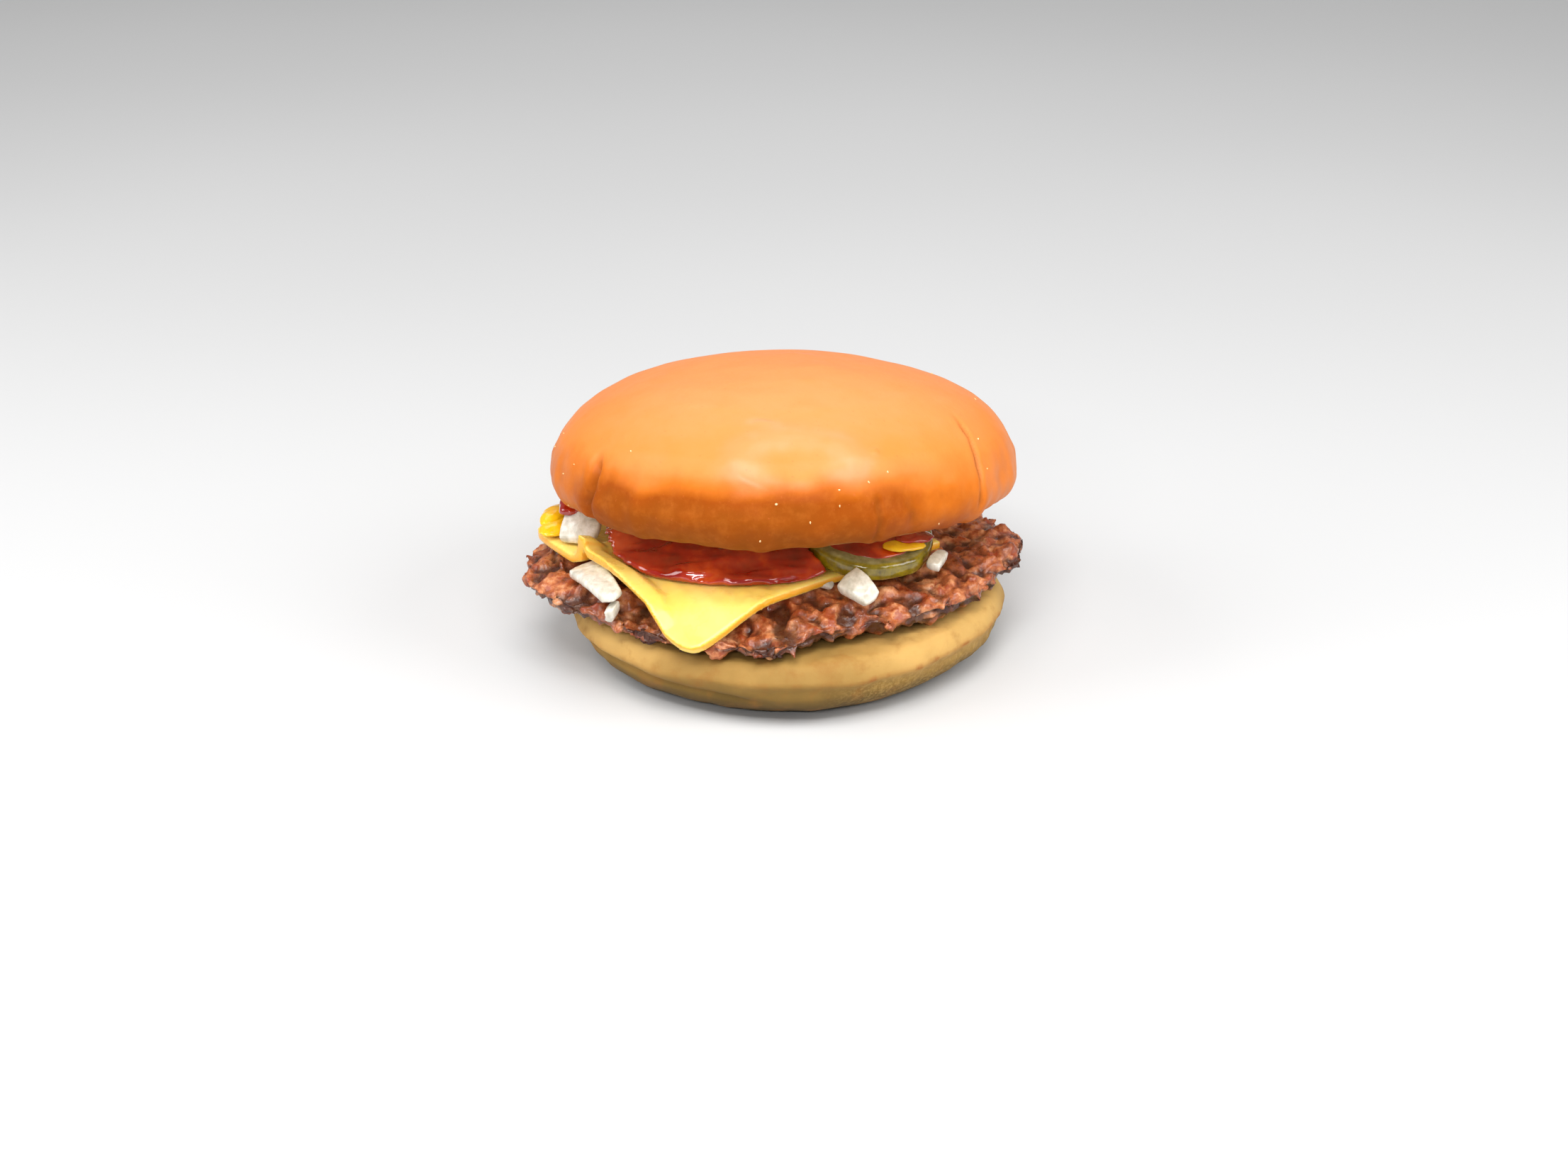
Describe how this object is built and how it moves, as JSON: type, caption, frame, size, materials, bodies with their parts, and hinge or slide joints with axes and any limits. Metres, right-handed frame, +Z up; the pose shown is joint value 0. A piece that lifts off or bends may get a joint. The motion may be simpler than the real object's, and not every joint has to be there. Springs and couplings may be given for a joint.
{
  "type": "cheeseburger",
  "caption": "A cheeseburger: a glossy tilted bun over ketchup, mustard, pickle, chopped onion and a cheese slice that hangs over a ragged beef patty, on the bottom bun",
  "frame": {"origin": "centre of the flat foot of the bottom bun (the heel), on the surface it rests on", "axes": "+Z up, -Y to the front, where a corner of the cheese hangs down, +X to the viewer's right"},
  "size_m": [0.1111, 0.1013, 0.0657],
  "materials": {
    "bun_side": "soft toasted bread, matte",
    "bun_crust": "golden brown crust with a soft shine",
    "beef": "browned minced beef, moist",
    "cheese": "melted processed cheese, satin",
    "ketchup": "thick tomato sauce, glossy",
    "mustard": "yellow mustard, satin",
    "pickle": "pickled gherkin, wet",
    "onion": "raw white onion, translucent and wet"
  },
  "bodies": {
    "root": {"heel": "bun_side", "crown": "bun_crust", "patty": "beef", "cheese": "cheese", "ketchup": "ketchup", "mustard_left": "mustard", "mustard_right": "mustard", "pickle": "pickle", "onion_left": "onion", "onion_strip": "onion", "onion_front": "onion", "onion_right": "onion"}
  },
  "joints": []
}
